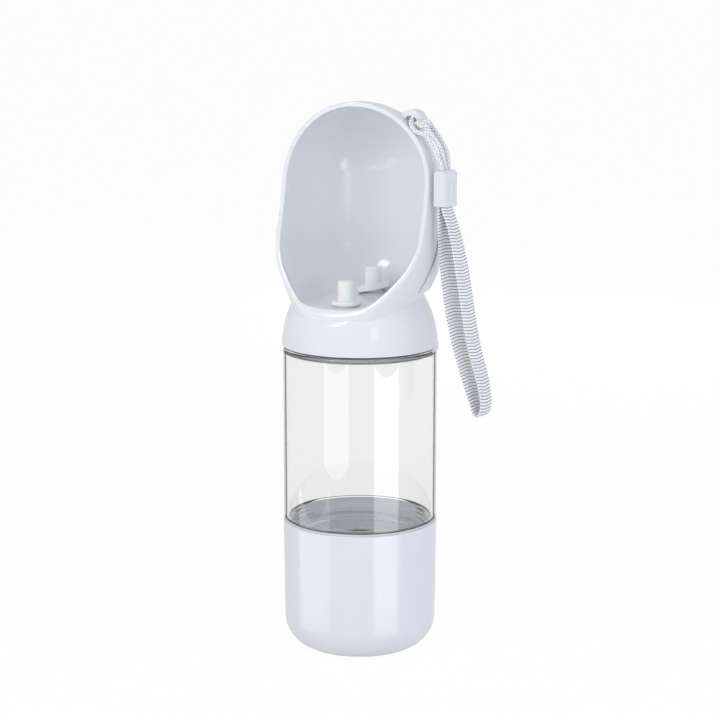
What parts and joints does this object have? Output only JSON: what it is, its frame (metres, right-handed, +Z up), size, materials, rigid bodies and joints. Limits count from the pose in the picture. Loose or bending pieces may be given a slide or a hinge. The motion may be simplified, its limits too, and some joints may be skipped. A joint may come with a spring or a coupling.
{
  "type": "pet food and water bowl",
  "caption": "Portable pet drinking bottle: clear bottle with a tall scoop bowl on its screw lid, a food cup screwed on below, pull plugs in the scoop's floor and a wrist strap.",
  "frame": {"origin": "centre of the food cup's flat underside, on the bottle's axis", "axes": "+Z up along the bottle's axis; the scoop opens towards -Y; the wrist strap hangs at +X"},
  "size_m": [0.109, 0.0772, 0.2669],
  "materials": {
    "cup_white": "satin",
    "seal_clear": "matte",
    "clear_plastic": "gloss",
    "seal_dark": "matte",
    "lid_white": "satin",
    "shell_white": "satin",
    "silicone_pale": "satin",
    "cord_white": "matte",
    "clip_white": "satin",
    "webbing_white": "matte"
  },
  "bodies": {
    "cup": {"food_cup": "cup_white"},
    "cup_seal": {"cup_gasket": "seal_clear"},
    "bottle": {"bottle": "clear_plastic"},
    "neck_seal": {"neck_gasket": "seal_dark"},
    "lid": {"scoop_lid": "lid_white", "rear_shell": "shell_white", "lanyard_cord": "cord_white", "lanyard_tail": "cord_white", "lanyard_knot": "cord_white", "strap_clip": "clip_white", "wrist_band": "webbing_white"},
    "pour_plug": {"pour_plug": "silicone_pale"},
    "return_plug": {"return_plug": "silicone_pale"}
  },
  "joints": [
    {"name": "bottle_thread_lift", "type": "slide", "parent": "cup", "child": "cup_seal", "axis": [0, 0, 1], "range_m": [0, 0.012]},
    {"name": "bottle_turn", "type": "hinge", "parent": "cup_seal", "child": "bottle", "pos_m": [0, 0, 0.0646], "axis": [0, 0, 1], "range_deg": [0, 720]},
    {"name": "lid_thread_lift", "type": "slide", "parent": "bottle", "child": "neck_seal", "axis": [0, 0, 1], "range_m": [0, 0.012]},
    {"name": "lid_turn", "type": "hinge", "parent": "neck_seal", "child": "lid", "pos_m": [0, 0, 0.1503], "axis": [0, 0, 1], "range_deg": [0, 720]},
    {"name": "pour_plug_pull", "type": "slide", "parent": "lid", "child": "pour_plug", "axis": [0, 0, 1], "range_m": [0, 0.014]},
    {"name": "return_plug_pull", "type": "slide", "parent": "lid", "child": "return_plug", "axis": [0, 0, 1], "range_m": [0, 0.014]}
  ],
  "couplings": [
    {"joint": "bottle_thread_lift", "follows": "bottle_turn", "m_per_rad": 0.00095492},
    {"joint": "lid_thread_lift", "follows": "lid_turn", "m_per_rad": 0.00095492}
  ]
}
